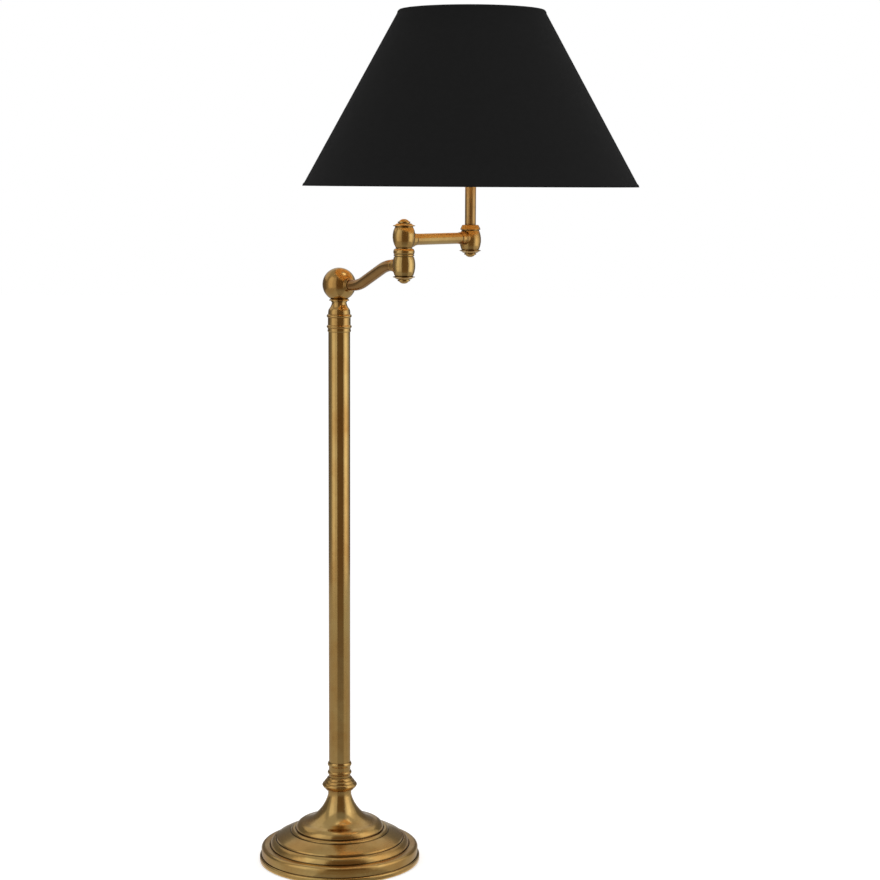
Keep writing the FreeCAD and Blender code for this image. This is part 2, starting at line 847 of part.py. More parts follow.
def make_lampholder_shell():
    """The screw-on sleeve. It clamps the core's flange, and its ledge carries the shade."""
    bore = holder_radius - holder_wall
    flange_bore = bore + core_flange_lap + socket_gap
    flange_top = holder_cap_top + core_flange_height
    ledge_bottom = ledge_top - ledge_thickness
    ledge_radius = holder_radius + ledge_width
    return turned([
        (flange_bore, holder_cap_top),
        (holder_radius, holder_cap_top),
        (holder_radius, ledge_bottom),
        (ledge_radius, ledge_bottom),
        (ledge_radius, ledge_top),
        (holder_radius, ledge_top),
        (holder_radius, holder_top),
        (bore, holder_top),
        (bore, flange_top),
        (flange_bore, flange_top),
    ], hub)


def make_lampholder_core():
    """The porcelain core. Its flange is held between cap and shell, and its top carries the screw shell."""
    flange_radius = holder_radius - holder_wall + core_flange_lap
    foot = stem_top + core_foot_height
    flange_top = holder_cap_top + core_flange_height
    core = turned([
        (0, foot),
        (core_radius - core_foot_inset, foot),
        (core_radius, foot + core_foot_slope),
        (core_radius, holder_cap_top),
        (flange_radius, holder_cap_top),
        (flange_radius, flange_top),
        (core_radius, flange_top),
        (core_radius, core_top),
        (core_recess_radius, core_top),
        (core_recess_radius, recess_floor),
        (0, recess_floor),
    ], hub)
    return core.cut(switch_way())


def make_lampholder_contact():
    """The springy centre contact, a bent strip in the core's recess, under the screw shell."""
    half = contact_width / 2
    tip = recess_floor + contact_rise
    profile = [
        (-contact_foot, recess_floor),
        (-half, recess_floor),
        (half / 2, tip - contact_sheet),
        (half, tip - contact_sheet),
        (half, tip),
        (0, tip),
        (-half - contact_sheet / 2, recess_floor + contact_sheet),
        (-contact_foot, recess_floor + contact_sheet),
    ]
    corners = [Vector(hub[0] + x, hub[1] - half, z) for x, z in profile]
    return Part.Face(Part.makePolygon(corners + corners[:1])).extrude(Vector(0, contact_width, 0))


def make_ring_nut():
    bore = holder_radius + running_gap
    top = carrier_top + ring_nut_height
    edge = ring_nut_radius - ring_nut_edge
    return turned([
        (bore, carrier_top),
        (edge, carrier_top),
        (ring_nut_radius, carrier_top + ring_nut_edge),
        (ring_nut_radius, top - ring_nut_edge),
        (edge, top),
        (bore, top),
    ], hub)


def make_switch_bar():
    """A bar with a knob at each end. At rest its right end is in, and it slides right by its travel."""
    side = holder_radius + switch_knob_gap
    left = -side - switch_travel
    edge = switch_knob_radius - switch_knob_edge
    return turned_across([
        (0, left - switch_knob_length),
        (edge, left - switch_knob_length),
        (switch_knob_radius, left - switch_knob_length + switch_knob_edge),
        (switch_knob_radius, left),
        (switch_bar_radius, left),
        (switch_bar_radius, side),
        (switch_knob_radius, side),
        (switch_knob_radius, side + switch_knob_length - switch_knob_edge),
        (edge, side + switch_knob_length),
        (0, side + switch_knob_length),
    ], 0, stem_top + switch_height, hub)


# Shade

def cone_radius(height, inset=0.0):
    """The radius of the shade's outer face at a height, less an inset."""
    slope = (shade_bottom_radius - shade_top_radius) / shade_height
    return shade_bottom_radius - hem_proud - slope * (height - shade_bottom) - inset


def make_shade_cover():
    """A stiff cone with a rolled rim at each end."""
    low_hem = shade_bottom + hem_height
    high_hem = shade_top - hem_height
    return turned([
        (cone_radius(shade_bottom, cover_thickness), shade_bottom),
        (cone_radius(shade_bottom), shade_bottom),
        (cone_radius(low_hem), low_hem, hem_proud),
        (cone_radius(high_hem), high_hem),
        (cone_radius(shade_top), shade_top, hem_proud),
        (cone_radius(shade_top, cover_thickness), shade_top),
    ], hub)


def make_shade_lining():
    outer = cover_thickness + lining_gap
    inner = outer + lining_thickness
    bottom = shade_bottom + hem_height
    top = shade_top - hem_height
    return turned([
        (cone_radius(bottom, inner), bottom),
        (cone_radius(bottom, outer), bottom),
        (cone_radius(top, outer), top),
        (cone_radius(top, inner), top),
    ], hub)


def make_ring_wire(height):
    """A round wire ring just inside the shade's rim."""
    middle = cone_radius(height, cover_thickness + lining_gap + wire_radius)
    section = [(middle, height - wire_radius, wire_radius), (middle, height + wire_radius, wire_radius)]
    return turned(section, hub, hidden_curve_error)


def make_shade_spokes(bottom_ring):
    """Straight spokes, their ends shaped to the bottom wire ring and to the carrier ring."""
    ring_height = shade_bottom + wire_inset
    ring_middle = cone_radius(ring_height, cover_thickness + lining_gap + wire_radius)
    carrier = upright_rod(carrier_radius, ledge_top - spoke_radius, carrier_top + spoke_radius, hub)
    spokes = []
    for turn in range(spoke_count):
        azimuth = spoke_azimuth + 360 / spoke_count * turn
        start = along(azimuth, carrier_radius - spoke_radius, carrier_top - carrier_thickness / 2, hub)
        end = along(azimuth, ring_middle - wire_radius / 2, ring_height, hub)
        spoke = Part.makeCylinder(spoke_radius, (end - start).Length, start, end - start)
        spokes.append(spoke.cut(carrier).cut(bottom_ring))
    return Part.makeCompound(spokes)


cap_below = lower_barrel_bottom - cap_height
cap_above = upper_barrel_top + cap_height
elbow_spindle_ends = (cap_below - finial_bore_depth, cap_above + finial_bore_depth)
hub_cap_bottom = hub_bottom - cap_height
swivel_nut_top = chamber_roof - washer_height
swivel_nut_bottom = swivel_nut_top - nut_height
swivel_spindle_ends = (swivel_nut_bottom - spindle_nut_end, seat_ring_top + spindle_grip)
tie_nut_top = pocket_roof - washer_height
tube_bore = arm_radius - arm_wall
upper_arm_run = (socket_reach, arm_length - socket_reach, upper_arm_azimuth, upper_arm_height, elbow)
screw_shell_radius = screw_bore + screw_wall
shade_bottom_ring = make_ring_wire(shade_bottom + wire_inset)

parts = {
    "felt_pad": upright_rod(felt_radius, 0, felt_thickness),
    "base_weight": make_base_weight(),
    "base_cover": make_base_cover(),
    "cord_inlet_bush": make_cord_inlet_bush(),
    "tie_rod": ring(rod_radius, rod_bore, felt_thickness + rod_end, rod_top),
    "tie_rod_washer": ring(washer_radius, rod_hole, tie_nut_top, pocket_roof),
    "tie_rod_nut": hexagon_nut(tie_nut_top - nut_height, tie_nut_top),
    "base_knop": make_base_knop(),
    "lower_ferrule": make_lower_ferrule(),
    "pole_tube": ring(pole_radius, pole_radius - pole_wall, pole_bottom, pole_top),
    "upper_ferrule": make_upper_ferrule(),
    "swivel_neck": make_swivel_neck(),
    "swivel_slip_washer": ring(slip_washer_radius, rod_hole, neck_top, seat_ring_bottom),
    "swivel_spindle": ring(rod_radius, rod_bore, *swivel_spindle_ends),
    "swivel_washer": ring(swivel_washer_radius, rod_hole, swivel_nut_top, chamber_roof),
    "swivel_nut": hexagon_nut(swivel_nut_bottom, swivel_nut_top),
    "ball_seat_ring": make_seat_ring(),
    "swivel_ball": make_swivel_ball(),
    "ball_collar": make_ball_collar(),
    "lower_arm_tube": make_lower_arm_tube(),
    "lower_elbow_barrel": make_lower_elbow_barrel(),
    "elbow_bottom_cap": knife_cap(lower_barrel_bottom, elbow, True),
    "elbow_spindle": ring(rod_radius, rod_bore, *elbow_spindle_ends, elbow),
    "elbow_bead_ring": make_bead_ring(),
    "elbow_slip_washer": ring(elbow_washer_radius, rod_hole, bead_ring_top, upper_barrel_bottom, elbow),
    "elbow_finials": Part.makeCompound([finial(cap_below, elbow, True), finial(cap_above, elbow)]),
    "upper_elbow_barrel": make_upper_elbow_barrel(),
    "arm_caps": Part.makeCompound([knife_cap(upper_barrel_top, elbow), knife_cap(hub_bottom, hub, True)]),
    "upper_arm_tube": level_rod(arm_radius, *upper_arm_run).cut(level_rod(tube_bore, *upper_arm_run)),
    "hub_barrel": make_hub_barrel(),
    "hub_finial": finial(hub_cap_bottom, hub, True),
    "hub_top_collar": make_hub_top_collar(),
    "stem_rod": ring(rod_radius, rod_bore, hub_cap_bottom - finial_bore_depth, stem_top + holder_web, hub),
    "stem_tube": ring(arm_radius, tube_bore, stem_bottom, stem_top, hub),
    "lampholder_cap": make_lampholder_cap(),
    "lampholder_shell": make_lampholder_shell(),
    "lampholder_core": make_lampholder_core(),
    "lampholder_screw_shell": ring(screw_shell_radius, screw_bore, core_top, core_top + screw_height, hub),
    "lampholder_contact": make_lampholder_contact(),
    "switch_bar": make_switch_bar(),
    "shade_ring_nut": make_ring_nut(),
    "shade_carrier_ring": ring(carrier_radius, holder_radius + loose_gap, ledge_top, carrier_top, hub),
    "shade_spokes": make_shade_spokes(shade_bottom_ring),
    "shade_bottom_ring": shade_bottom_ring,
    "shade_top_ring": make_ring_wire(shade_top - wire_inset),
    "shade_cover": make_shade_cover(),
    "shade_lining": make_shade_lining(),
}

os.makedirs("parts", exist_ok=True)
for name, shape in parts.items():
    shape.exportStep(f"parts/{name}.step")
print("pieces:", len(parts), "height:", round(shade_top, 1), "elbow:", elbow, "hub:", hub)
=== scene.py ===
# %% [markdown]
# # A swing arm floor lamp in antique brass
# The lamp's solids come from CAD, in metres, with the floor at height 0 and the pole on the Z axis.
# They stay as they are. Blender gives them their finishes, and adds the forms that are too fine for the
# solids: a rolled screw thread, a ribbed nut, the seam of the shade and the welds of its wire frame.

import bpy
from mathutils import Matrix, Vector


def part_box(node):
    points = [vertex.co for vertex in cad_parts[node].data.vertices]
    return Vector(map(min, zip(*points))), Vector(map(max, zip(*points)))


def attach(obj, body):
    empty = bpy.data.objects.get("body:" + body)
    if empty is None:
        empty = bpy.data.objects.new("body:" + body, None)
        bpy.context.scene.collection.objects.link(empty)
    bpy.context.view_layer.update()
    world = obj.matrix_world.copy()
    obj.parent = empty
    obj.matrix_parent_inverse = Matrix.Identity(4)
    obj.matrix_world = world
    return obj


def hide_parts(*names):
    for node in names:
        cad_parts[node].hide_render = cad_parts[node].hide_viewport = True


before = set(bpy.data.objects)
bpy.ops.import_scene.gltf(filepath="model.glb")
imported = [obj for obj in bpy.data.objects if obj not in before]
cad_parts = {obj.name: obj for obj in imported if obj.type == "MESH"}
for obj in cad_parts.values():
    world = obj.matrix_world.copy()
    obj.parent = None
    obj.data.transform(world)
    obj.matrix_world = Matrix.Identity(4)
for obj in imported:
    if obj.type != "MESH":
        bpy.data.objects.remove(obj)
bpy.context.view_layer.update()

# %% Tools from Blender
import math

import bmesh
import bpy
from mathutils import Matrix, Vector, noise

scene = bpy.context.scene
millimetre = 0.001
print("Blender", bpy.app.version_string)

# %% [markdown]
# ## The camera
# The photograph was taken from three metres away, from about the height of the shade's lower rim, with the
# camera tilted down a little. A long lens keeps the pole's sides almost parallel.
# A camera can be set by eye. This one was fitted to the rims of the shade, the rings of the foot and the
# pole, so that the picture of the model lies over the photograph.

# %% Place the camera
lens_length = 84.816            # in millimetres, before a sensor of the width below
sensor_width = 36.0
camera_place = (0.14826, -3.030, 1.01788)
camera_tilt = 7.1557            # degrees down from level
camera_roll = 0.2959            # degrees

camera_data = bpy.data.cameras.new("camera")
camera_data.lens = lens_length
camera_data.sensor_width = sensor_width
camera = bpy.data.objects.new("camera", camera_data)
scene.collection.objects.link(camera)
tilt = Matrix.Rotation(math.radians(90 - camera_tilt), 4, "X")
roll = Matrix.Rotation(math.radians(camera_roll), 4, "Z")
camera.matrix_world = Matrix.Translation(camera_place) @ tilt @ roll
scene.camera = camera
scene.view_settings.view_transform = "Standard"
print("camera at", [round(c, 3) for c in camera_place])

# %% [markdown]
# ## Colours and nodes
# Colours are written as they are read from a screen, as sRGB hex values. Shaders count in linear light,
# so one function turns them. Its numbers are those of the sRGB curve.
# A material is a small graph. One function adds a node to it, sets its switches and feeds its inputs,
# either with a plain value or with the output of another node.

# %% Colour and node helpers
def linear(hex_colour):
    """A hex colour such as "#B48A4A" in linear light, with alpha 1."""
    def channel(text):
        value = int(text, 16) / 255
        return value / 12.92 if value <= 0.04045 else ((value + 0.055) / 1.055) ** 2.4
    return (*(channel(hex_colour[i:i + 2]) for i in (1, 3, 5)), 1.0)


def add_node(tree, kind, inputs=None, **settings):
    """Adds a node, sets its properties, and sets or links its inputs by name or number."""
    node = tree.nodes.new(kind)
    for name, value in settings.items():
        setattr(node, name, value)
    for name, value in (inputs or {}).items():
        if isinstance(value, bpy.types.NodeSocket):
            tree.links.new(value, node.inputs[name])
        else:
            node.inputs[name].default_value = value
    return node


def new_material(name):
    """An empty material and its node tree."""
    material = bpy.data.materials.new(name)
    material.use_nodes = True
    material.node_tree.nodes.clear()
    return material, material.node_tree


def set_surface(tree, shader):
    """Makes a shader node the surface of its material."""
    add_node(tree, "ShaderNodeOutputMaterial", {"Surface": shader.outputs[0]})


white = "#FFFFFF"
print("white in linear light:", linear(white))

# %% [markdown]
# ## The studio
# The lamp stands before pure white, so the world and the floor are white to the camera, and the floor keeps
# a faint contact shadow. The light that falls on cloth and porcelain is a weaker one, so that a colour comes
# out about as it is written. A Light Path node tells the two apart.

# %% World
ambient_light = 0.62        # what falls on the lamp
background_white = 1.0      # what the camera, a mirror or glass sees


def seen_directly(tree):
    """1 for what the camera, a mirror or glass sees, and 0 for the light that falls on things."""
    ray = add_node(tree, "ShaderNodeLightPath")
    seen = ray.outputs["Is Camera Ray"]
    for other in ("Is Glossy Ray", "Is Transmission Ray"):
        either = add_node(tree, "ShaderNodeMath", {0: seen, 1: ray.outputs[other]}, operation="MAXIMUM")
        seen = either.outputs[0]
    return seen


world = bpy.data.worlds.new("white_studio")
world.use_nodes = True
scene.world = world
sky = world.node_tree
sky.nodes.clear()
strength = add_node(sky, "ShaderNodeMapRange", {
    "Value": seen_directly(sky),
    "To Min": ambient_light,
    "To Max": background_white,
})
background = add_node(sky, "ShaderNodeBackground", {"Color": linear(white), "Strength": strength.outputs[0]})
add_node(sky, "ShaderNodeOutputWorld", {"Surface": background.outputs[0]})
print("light on the lamp:", ambient_light, "of what the camera sees")

# %% Floor
half_floor = 15.0           # metres from its middle to a side
paper_colour = "#E6E6E6"
paper_glow = 0.55           # lifts the paper to white where it is seen, and adds no light

floor_corners = [(x * half_floor, y * half_floor, 0.0) for x, y in ((-1, -1), (1, -1), (1, 1), (-1, 1))]
floor_mesh = bpy.data.meshes.new("studio_floor")
floor_mesh.from_pydata(floor_corners, [], [(0, 1, 2, 3)])
floor = bpy.data.objects.new("studio_floor", floor_mesh)
scene.collection.objects.link(floor)

floor_paper, tree = new_material("white_background_paper")
lift = add_node(tree, "ShaderNodeMath", {0: seen_directly(tree), 1: paper_glow}, operation="MULTIPLY")
glow = add_node(tree, "ShaderNodeEmission", {"Color": linear(white), "Strength": lift.outputs[0]})
paper = add_node(tree, "ShaderNodeBsdfDiffuse", {"Color": linear(paper_colour)})
set_surface(tree, add_node(tree, "ShaderNodeAddShader", {0: paper.outputs[0], 1: glow.outputs[0]}))
floor_mesh.materials.append(floor_paper)
print("floor:", 2 * half_floor, "metres wide")

# %% [markdown]
# ### Soft lamps
# Three large soft boxes, left, right and above, give a plain light with no hard shadow. A fourth low one
# stands for the light that a pale floor throws up into the shade, where the soft boxes don't reach.
# Reflections don't see the lamps: what the brass shows is built from cards below.

# %% Hang the soft lamps
lamp_middle = (0.1, 0.0, 0.7)
shade_middle = (0.19, 0.0, 1.1)

# name, place, what it points at, width, height, brightness of its face
soft_lamps = (
    ("soft_box_left", (-2.4, -2.2, 2.0), lamp_middle, 1.2, 1.8, 1.6),
    ("soft_box_right", (2.8, -1.6, 1.9), lamp_middle, 1.2, 1.8, 1.9),
    ("soft_box_top", (0.1, -0.3, 3.4), lamp_middle, 2.0, 2.0, 0.9),
    ("bounce_into_shade", (0.19, -0.1, 0.12), shade_middle, 0.6, 0.6, 7.0),
)


def soft_lamp(name, place, target, width, height, brightness):
    """A rectangular soft box. Its power follows from the brightness of its face."""
    data = bpy.data.lights.new(name, "AREA")
    data.shape = "RECTANGLE"
    data.size = width
    data.size_y = height
    data.energy = brightness * math.pi * width * height
    lamp = bpy.data.objects.new(name, data)
    scene.collection.objects.link(lamp)
    lamp.location = place
    lamp.rotation_euler = (Vector(place) - Vector(target)).to_track_quat("Z", "Y").to_euler()
    lamp.visible_glossy = False
    lamp.visible_camera = False
    print(name, "power:", round(data.energy, 1), "watts")


for row in soft_lamps:
    soft_lamp(*row)

# %% [markdown]
# ### A room for the brass to show
# Polished metal has hardly a colour of its own: it shows the room. An upright tube shows the whole room as
# upright stripes, a level face shows the ceiling, and a slope near the floor shows the floor.
# So the photographed room can be read back from the lamp: a brown area of wood behind the camera, a bright
# side on the right, a greyer one on the left, a dim room behind the lamp that is lighter above 1.5 m, a dark
# floor and one lamp overhead on the right. Each of these is a card that glows evenly.
# A picture of a room round the scene could do the same. Cards need no image, and each can be set alone.
# Only reflections see the cards, so they shape the brass and leave the cloth and the floor as they are.

# %% A card is a line swept round the pole
card_step = 8               # degrees from one edge of a card's mesh to the next
camera_side = -90           # degrees, where the camera stands


def add_card(name, start, end, line, strength, colour):
    """Sweeps a line of two (radius, height) points from one angle to another, and makes it glow.

    The angles are in degrees to the right of the camera's side, round the pole.
    """
    columns = max(2, round(abs(end - start) / card_step) + 1)
    corners = []
    for column in range(columns):
        turn = math.radians(camera_side + start + (end - start) * column / (columns - 1))
        corners += [(radius * math.cos(turn), radius * math.sin(turn), height) for radius, height in line]
    faces = [(2 * c, 2 * c + 1, 2 * c + 3, 2 * c + 2) for c in range(columns - 1)]
    mesh = bpy.data.meshes.new(name)
    mesh.from_pydata(corners, [], faces)
    paint, paint_tree = new_material(name)
    light = add_node(paint_tree, "ShaderNodeEmission", {"Color": linear(colour), "Strength": strength})
    set_surface(paint_tree, light)
    mesh.materials.append(paint)
    card = bpy.data.objects.new(name, mesh)
    scene.collection.objects.link(card)
    card.visible_camera = False
    card.visible_diffuse = False
    card.visible_transmission = False
    card.visible_shadow = False


print("a card all the way round has", round(360 / card_step), "faces")

# %% Cards round the lamp
# brown of the wood behind the camera, and also the colour of the painted shadow of the foot on the floor, as
# reflections see it
dark_wood_and_shadow = "#6C5C48"
card_distance = 2.3
card_top = 3.2
back_split = 1.5            # the room behind the lamp is dark up to here, and lighter above
wall = ((card_distance, 0.0), (card_distance, card_top))
low_wall = ((card_distance, 0.0), (card_distance, back_split))
high_wall = ((card_distance, back_split), (card_distance, card_top))

# name, first angle, last angle, line, strength, colour
wall_cards = (
    ("card_front", -20, 48, wall, 1.0, dark_wood_and_shadow),
    ("card_right_near", 48, 60, wall, 0.65, white),
    ("card_right_light", 60, 91, wall, 1.12, white),
    ("card_right_far", 91, 108, wall, 0.72, white),
    ("card_right_gap", 108, 122, wall, 0.5, white),
    ("card_right_back", 122, 172, low_wall, 0.16, white),
    ("card_left_near", -45, -20, wall, 0.62, white),
    ("card_left", -78, -45, wall, 0.85, white),
    ("card_left_far", -100, -78, wall, 0.33, white),
    ("card_left_back", -170, -100, low_wall, 0.16, white),
    ("card_back_high", 122, 260, high_wall, 0.6, white),
    ("card_back_middle", 172, 190, low_wall, 0.4, white),
)
for row in wall_cards:
    add_card(*row)
print("upright cards:", len(wall_cards))

# %% [markdown]
# ### The ceiling and the floor of that room
# The tops of the ball, the caps and the foot show the ceiling: grey, darker towards the camera, with one
# lamp on the right. The foot's upright bands show the floor up to a quarter of a metre away, and the lower
# pole shows it from half a metre outwards. So the floor before the lamp is cut into rings, and each is set by
# the part of the lamp that shows it.

# %% Cards overhead and on the floor
room_edge = card_distance + 0.1     # level cards reach a little behind the upright ones
foot_edge = 0.123                   # and start just outside the lamp's foot
floor_height = 0.0015
front_height = card_top - 0.02      # the cards overhead hang one under the other
lamp_height = card_top - 0.05


def level(inner, outer, height=floor_height):
    """The line of a level card."""
    return ((inner, height), (outer, height))


# name, first angle, last angle, line, strength, colour
level_cards = (
    ("card_ceiling", -180, 180, level(0.55, room_edge, card_top), 0.42, white),
    ("card_ceiling_front", -24, 52, level(1.0, room_edge, front_height), 0.24, white),
    ("card_ceiling_lamp", 70, 110, level(0.7, 1.5, lamp_height), 2.0, white),
    ("card_floor", 48, 340, level(0.2, room_edge), 0.42, white),
    ("card_floor_near", 48, 340, level(foot_edge, 0.2), 0.48, white),
    ("card_floor_front_near", -20, 48, level(foot_edge, 0.21), 0.29, white),
    # a painted shadow: a darker ring where the foot's shadow lies on the floor, seen only in reflections
    ("card_floor_front_shadow", -20, 48, level(0.21, 0.3), 1.3, dark_wood_and_shadow),
    ("card_floor_front_middle", -20, 48, level(0.3, 1.0), 0.29, white),
    ("card_floor_front_far", -20, 48, level(1.0, 1.5), 0.22, white),
    ("card_floor_front_edge", -20, 48, level(1.5, room_edge), 1.2, dark_wood_and_shadow),
)
for row in level_cards:
    add_card(*row)
print("level cards:", len(level_cards))

# %% [markdown]
# ## Smooth shading of the solids
# The CAD model is made of triangles, and its turned shapes are cut into narrow bands. Welding the points
# that lie on each other and shading smoothly over every edge that turns less than 40 degrees makes them
# look round again, and keeps the turned corners crisp.
# Editing the meshes would do it too. Modifiers leave the solids' own meshes as they were packed.

# %% A node group that shades by angle
smooth_angle = math.radians(40)
weld_distance = 0.002 * millimetre
shading = bpy.data.node_groups.new("shade_by_angle", "GeometryNodeTree")
shading.interface.new_socket("Geometry", in_out="INPUT", socket_type="NodeSocketGeometry")
shading.interface.new_socket("Geometry", in_out="OUTPUT", socket_type="NodeSocketGeometry")
plain = add_node(shading, "NodeGroupInput")
for attribute in ("custom_normal", "sharp_edge"):
    plain = add_node(shading, "GeometryNodeRemoveAttribute", {
        "Geometry": plain.outputs[0],
        "Name": attribute,
    })
edge_angle = add_node(shading, "GeometryNodeInputMeshEdgeAngle")
sharp = add_node(shading, "FunctionNodeCompare", {
    0: edge_angle.outputs[0],
    1: smooth_angle,
}, operation="GREATER_THAN")
round_faces = add_node(shading, "GeometryNodeSetShadeSmooth", {
    "Geometry": plain.outputs[0],
    "Shade Smooth": True,
}, domain="FACE")
crisp_edges = add_node(shading, "GeometryNodeSetShadeSmooth", {
    "Geometry": round_faces.outputs[0],
    "Selection": sharp.outputs[0],
    "Shade Smooth": False,
}, domain="EDGE")
add_node(shading, "NodeGroupOutput", {0: crisp_edges.outputs[0]})


def shade_by_angle(piece):
    """Shades a piece smoothly, apart from its sharp edges."""
    smooth = piece.modifiers.new("shade_by_angle", "NODES")
    smooth.node_group = shading


for node_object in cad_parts.values():
    weld = node_object.modifiers.new("weld", "WELD")
    weld.merge_threshold = weld_distance
    shade_by_angle(node_object)
print("smooth over edges under", round(math.degrees(smooth_angle)), "degrees")

# %% [markdown]
# ## Antique brass
# Brass is copper with about a third of zinc. New, it is yellow. An antique finish is made by darkening the
# whole surface with a chemical patina and rubbing it back: the open surfaces turn warm gold-brown again,
# and brown stays in every groove and corner. A thin satin lacquer then stops it changing.
# It could be painted as a picture on each piece. Nodes that measure the piece itself need no unwrapping, and
# one recipe serves every piece: brown where a spot is enclosed, and in soft clouds and small spots.

# %% Where the brown stayed
groove_reach = 5 * millimetre       # how far from a corner the brown stays
groove_openness = (0.35, 0.85)      # wholly brown below the first, clean above the second
groove_samples = 6
cloud_size = 55 * millimetre        # of the patches where the patina was rubbed off unevenly
cloud_share = (0.36, 0.66)
spot_size = 3.5 * millimetre        # of the small spots inside them
spot_share = (0.55, 0.75)


def brown_places(tree, place):
    """How brown a point is, from 0 to 1, by the grooves, the clouds and the small spots."""
    shelter = add_node(tree, "ShaderNodeAmbientOcclusion", {"Distance": groove_reach}, samples=groove_samples)
    groove = add_node(tree, "ShaderNodeMapRange", {
        "Value": shelter.outputs["AO"],
        "From Min": groove_openness[0],
        "From Max": groove_openness[1],
        "To Min": 1.0,
        "To Max": 0.0,
    }, interpolation_type="SMOOTHSTEP")
    clouds = add_node(tree, "ShaderNodeTexNoise", {
        "Vector": place,
        "Scale": 1 / cloud_size,
        "Detail": 4.0,
        "Roughness": 0.55,
    })
    cloudy = add_node(tree, "ShaderNodeMapRange", {
        "Value": clouds.outputs[0],
        "From Min": cloud_share[0],
        "From Max": cloud_share[1],
    })
    spots = add_node(tree, "ShaderNodeTexNoise", {
        "Vector": place,
        "Scale": 1 / spot_size,
        "Detail": 2.0,
        "Roughness": 0.6,
    })
    spotty = add_node(tree, "ShaderNodeMapRange", {
        "Value": spots.outputs[0],
        "From Min": spot_share[0],
        "From Max": spot_share[1],
    })
    return groove.outputs[0], cloudy.outputs[0], spotty.outputs[0]


print("clouds of", round(cloud_size, 3), "m and spots of", round(spot_size, 4), "m")

# %% [markdown]
# ### Marks of the tools
# Fine marks show how each piece was made: rings of a lathe on turned pieces, long lines on drawn tubes.
# Both are one noise. For rings it is read at the distance from the axis and the height, so that it is the
# same all the way round. For lines it is read along the tube in very small steps, so that it is stretched.
# Real polishing marks are 0.05 mm apart, too fine for the picture, so they are drawn about ten times as
# coarse.

# %% Polishing marks
mark_spacing = 0.6 * millimetre
line_stretch = 0.015        # a drawn line is this much finer across than along
mark_depth = 0.01 * millimetre


def polishing_marks(tree, place, centred, direction):
    """The noise of the marks: rings about an upright axis, or lines along a direction if one is given."""
    if direction is None:
        flat = add_node(tree, "ShaderNodeVectorMath", {0: centred, 1: (1.0, 1.0, 0.0)}, operation="MULTIPLY")
        radius = add_node(tree, "ShaderNodeVectorMath", {0: flat.outputs[0]}, operation="LENGTH")
        split = add_node(tree, "ShaderNodeSeparateXYZ", {0: place})
        where = add_node(tree, "ShaderNodeCombineXYZ", {0: radius.outputs["Value"], 2: split.outputs[2]})
    else:
        upright = Vector(direction).normalized().to_track_quat("Z", "X").inverted().to_euler()
        along = add_node(tree, "ShaderNodeVectorRotate", {
            "Vector": centred,
            "Rotation": upright,
        }, rotation_type="EULER_XYZ")
        where = add_node(tree, "ShaderNodeVectorMath", {
            0: along.outputs[0],
            1: (1.0, 1.0, line_stretch),
        }, operation="MULTIPLY")
    marks = add_node(tree, "ShaderNodeTexNoise", {
        "Vector": where.outputs[0],
        "Scale": 1 / mark_spacing,
        "Detail": 3.0,
        "Roughness": 0.7,
    })
    return marks.outputs[0]


print("marks:", round(1 / mark_spacing), "to the metre")

# %% [markdown]
# ### The brass itself
# The base colour runs from rubbed brass to dark brown by the places found above, and brown spots are rougher.
# The wheel polishes the pole and the ball best. The spun foot and the elbow are a little softer, and the
# upper arm, the hub and the stem stay satin, so they blur what they show. The bent arm and the stem are
# given a browner tone.

# %% The brass material
rubbed_brass = linear("#DAB671")
warm_brass = linear("#C99A55")
bent_tube_brass = linear("#BC945C")     # a browner brass for the bent arm, and for the clouds on the stem
bent_tube_warm = linear("#AC7D44")
stem_brass = linear("#CBA468")
brown_patina = linear("#80602F")
groove_brown = linear("#50391B")
polished = (0.11, 0.22)     # roughness of open surfaces, and of those where the brown stayed
spun = (0.16, 0.28)
satin = (0.18, 0.3)
brushed = (0.26, 0.36)
spot_strength = 0.15
mark_strength = 0.15
mark_range = (0.4, 0.8)
lacquer = {"Coat Weight": 0.12, "Coat Roughness": 0.25}


def antique_brass(name, axis, direction=None, open_tone=rubbed_brass, cloud_tone=warm_brass,
                  roughness=polished):
    """Antique brass, turned about an upright axis, or drawn along a direction if one is given."""
    material, tree = new_material(name)
    place = add_node(tree, "ShaderNodeTexCoord").outputs["Object"]
    centred = add_node(tree, "ShaderNodeVectorMath", {0: place, 1: axis}, operation="SUBTRACT")
    groove, cloudy, spotty = brown_places(tree, place)
    marks = polishing_marks(tree, place, centred.outputs[0], direction)

    faint_spot = add_node(tree, "ShaderNodeMath", {0: spotty, 1: spot_strength}, operation="MULTIPLY")
    faint_mark = add_node(tree, "ShaderNodeMapRange", {
        "Value": marks,
        "From Min": mark_range[0],
        "From Max": mark_range[1],
        "To Max": mark_strength,
    })
    tone = open_tone
    layers = (
        (cloudy, cloud_tone),
        (faint_spot.outputs[0], brown_patina),
        (faint_mark.outputs[0], brown_patina),
        (groove, groove_brown),
    )
    for share, colour in layers:
        mixed = add_node(tree, "ShaderNodeMix", {0: share, 6: tone, 7: colour}, data_type="RGBA")
        tone = mixed.outputs[2]

    brown = cloudy
    for share in (spotty, groove):
        brown = add_node(tree, "ShaderNodeMath", {0: brown, 1: share}, operation="MAXIMUM").outputs[0]
    rough = add_node(tree, "ShaderNodeMapRange", {
        "Value": brown,
        "To Min": roughness[0],
        "To Max": roughness[1],
    })
    dents = add_node(tree, "ShaderNodeBump", {"Height": marks, "Distance": mark_depth, "Strength": 1.0})
    set_surface(tree, add_node(tree, "ShaderNodeBsdfPrincipled", {
        "Base Color": tone,
        "Metallic": 1.0,
        "Roughness": rough.outputs[0],
        "Normal": dents.outputs[0],
        **lacquer,
    }))
    return material


print("roughness from", polished[0], "on the pole to", brushed[1], "on the stem")

